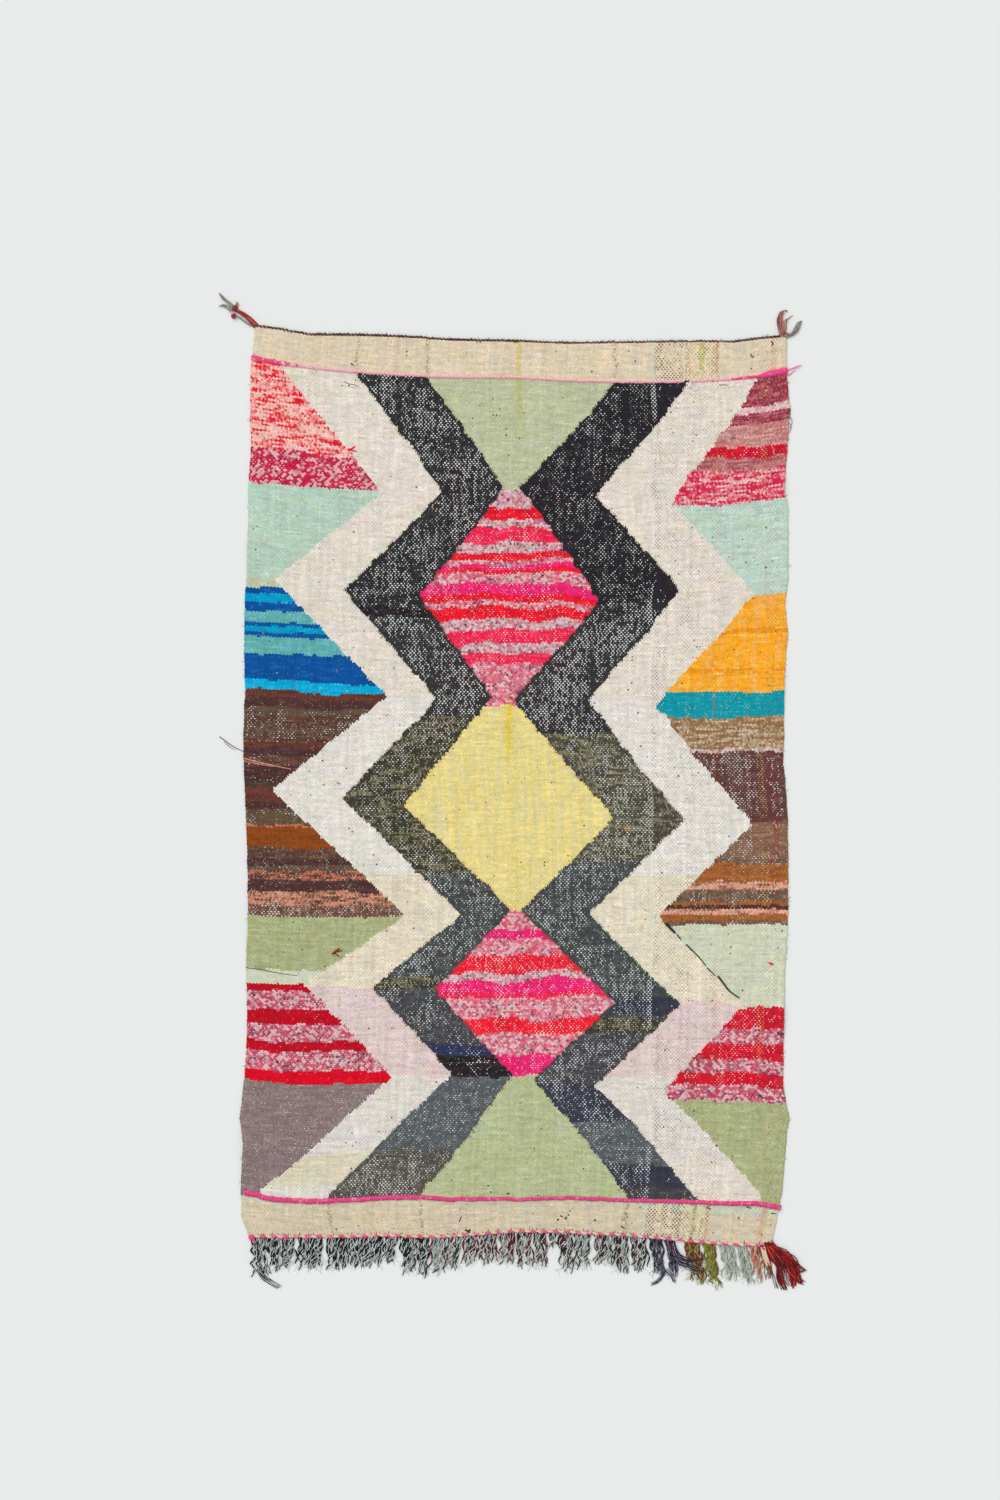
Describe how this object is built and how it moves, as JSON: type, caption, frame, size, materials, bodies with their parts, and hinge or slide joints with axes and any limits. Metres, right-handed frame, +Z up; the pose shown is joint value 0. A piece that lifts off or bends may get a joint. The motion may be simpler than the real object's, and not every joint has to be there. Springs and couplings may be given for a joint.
{
  "type": "boucherouite rug",
  "caption": "Flat-woven boucherouite rug with a zigzag and lozenge pattern, beige end bands, a twined head cord, knotted corner tassels and a yarn fringe at its foot.",
  "frame": {"origin": "middle of the rug's whole footprint, fringe and tassels included, at floor level", "axes": "+Y along the rug's length towards the corded head end, -Y towards the fringed foot end, +X towards the right selvedge seen from above, +Z up from the floor through the patterned face"},
  "size_m": [1.4025, 2.3985, 0.01],
  "materials": {
    "woven_cloth": "weft-faced plain weave of wool and rag yarns, matt, many colours",
    "brown_twine": "two-colour twisted wool cord, matt",
    "russet_yarn": "twisted wool yarn, matt",
    "slate_yarn": "dark slate-green and pale mint wool yarn, matt",
    "maroon_yarn": "maroon, grey and pale mint wool yarn, matt",
    "navy_yarn": "navy and purple wool yarn, matt",
    "olive_yarn": "olive-green and maroon wool yarn, matt",
    "mint_yarn": "mint-grey wool yarn, matt",
    "rust_yarn": "rust and mint wool yarn, matt",
    "red_yarn": "rust-red wool yarn, matt"
  },
  "bodies": {
    "root": {"cloth": "woven_cloth", "head_cord": "brown_twine", "head_tassel_left": "russet_yarn", "head_tassel_right": "russet_yarn", "fringe_slate": "slate_yarn", "fringe_maroon": "maroon_yarn", "fringe_navy": "navy_yarn", "fringe_olive": "olive_yarn", "fringe_mint": "mint_yarn", "fringe_rust": "rust_yarn", "foot_tassel_right": "red_yarn"}
  },
  "joints": []
}
